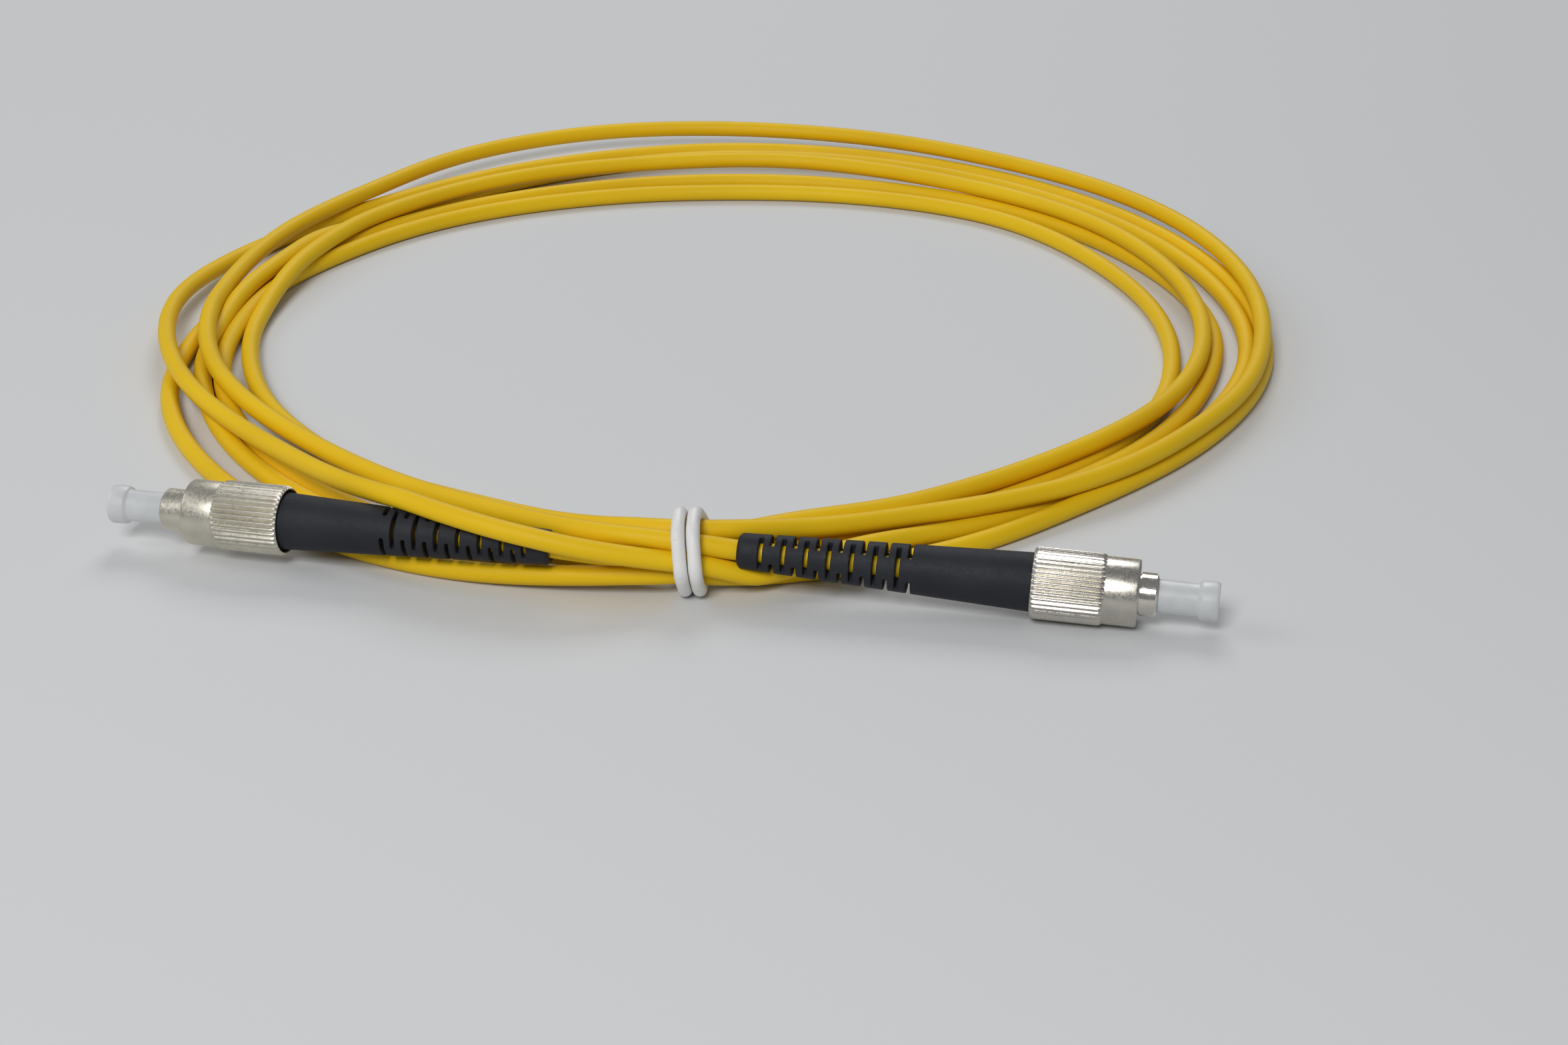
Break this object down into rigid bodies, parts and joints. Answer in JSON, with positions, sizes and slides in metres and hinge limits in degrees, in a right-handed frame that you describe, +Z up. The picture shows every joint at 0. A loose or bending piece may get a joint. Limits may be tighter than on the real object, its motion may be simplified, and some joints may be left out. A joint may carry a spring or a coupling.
{
  "type": "fiber optic patch cord",
  "caption": "Simplex fibre cord wound in a flat coil, bound by a wire tie, with a capped screw-coupled round plug and ribbed boot at each end.",
  "frame": {"origin": "on the surface that the cord lies on, under the middle of the box round the two plugs and boots", "axes": "+X runs from the left plug to the right plug, +Y runs from the plugs to the far side of the coil, +Z is up"},
  "size_m": [0.191, 0.2104, 0.0131],
  "materials": {
    "jacket": "satin yellow PVC cord jacket",
    "boot": "matte charcoal moulded rubber",
    "nickel": "nickel-plated turned brass",
    "steel": "plain steel",
    "ceramic": "polished white zirconia",
    "cap": "translucent milky soft plastic",
    "aramid": "yellow aramid yarn",
    "buffer": "white tight buffer",
    "glass_fibre": "bare silica fibre",
    "tie": "white plastic covered wire, slightly dirty"
  },
  "bodies": {
    "cord": {"cord_coil": "jacket", "left_cord_lead": "jacket", "right_cord_lead": "jacket", "tie_wire_core": "steel", "tie_sleeve": "tie", "left_plug_frame": "nickel", "left_back_body": "nickel", "left_crimp_sleeve": "steel", "left_aramid_yarn": "aramid", "left_jacket_end": "jacket", "left_boot": "boot", "left_ferrule_spring": "steel", "right_plug_frame": "nickel", "right_back_body": "nickel", "right_crimp_sleeve": "steel", "right_aramid_yarn": "aramid", "right_jacket_end": "jacket", "right_boot": "boot", "right_ferrule_spring": "steel"},
    "left_washer": {"left_nut_washer": "steel"},
    "left_nut": {"left_coupling_nut": "nickel"},
    "left_ferrule_set": {"left_ferrule": "ceramic", "left_ferrule_flange": "nickel", "left_buffer": "buffer", "left_fibre": "glass_fibre"},
    "left_cap": {"left_dust_cap": "cap"},
    "right_washer": {"right_nut_washer": "steel"},
    "right_nut": {"right_coupling_nut": "nickel"},
    "right_ferrule_set": {"right_ferrule": "ceramic", "right_ferrule_flange": "nickel", "right_buffer": "buffer", "right_fibre": "glass_fibre"},
    "right_cap": {"right_dust_cap": "cap"}
  },
  "joints": [
    {"name": "left_nut_slide", "type": "slide", "parent": "cord", "child": "left_washer", "axis": [-0.968, 0.2503, -0.0175], "range_m": [-0.0005, 0.0025]},
    {"name": "left_nut_spin", "type": "hinge", "parent": "left_washer", "child": "left_nut", "pos_m": [-0.05979, 0.00934, 0.00647], "axis": [-0.968, 0.2503, -0.0175], "continuous": true},
    {"name": "left_ferrule_spring_slide", "type": "slide", "parent": "cord", "child": "left_ferrule_set", "axis": [-0.968, 0.2503, -0.0175], "range_m": [-0.0013, 0], "stiffness_N_per_m": 5000, "springref_m": 0.001, "deforming": ["left_ferrule_spring"]},
    {"name": "left_cap_pull", "type": "slide", "parent": "left_ferrule_set", "child": "left_cap", "axis": [-0.968, 0.2503, -0.0175], "range_m": [0, 0.008]},
    {"name": "right_nut_slide", "type": "slide", "parent": "cord", "child": "right_washer", "axis": [0.9861, -0.1615, -0.0384], "range_m": [-0.002, 0.001]},
    {"name": "right_nut_spin", "type": "hinge", "parent": "right_washer", "child": "right_nut", "pos_m": [0.05914, -0.01064, 0.00532], "axis": [0.9861, -0.1615, -0.0384], "continuous": true},
    {"name": "right_ferrule_spring_slide", "type": "slide", "parent": "cord", "child": "right_ferrule_set", "axis": [0.9861, -0.1615, -0.0384], "range_m": [-0.0013, 0], "stiffness_N_per_m": 5000, "springref_m": 0.001, "deforming": ["right_ferrule_spring"]},
    {"name": "right_cap_pull", "type": "slide", "parent": "right_ferrule_set", "child": "right_cap", "axis": [0.9861, -0.1615, -0.0384], "range_m": [0, 0.008]}
  ]
}
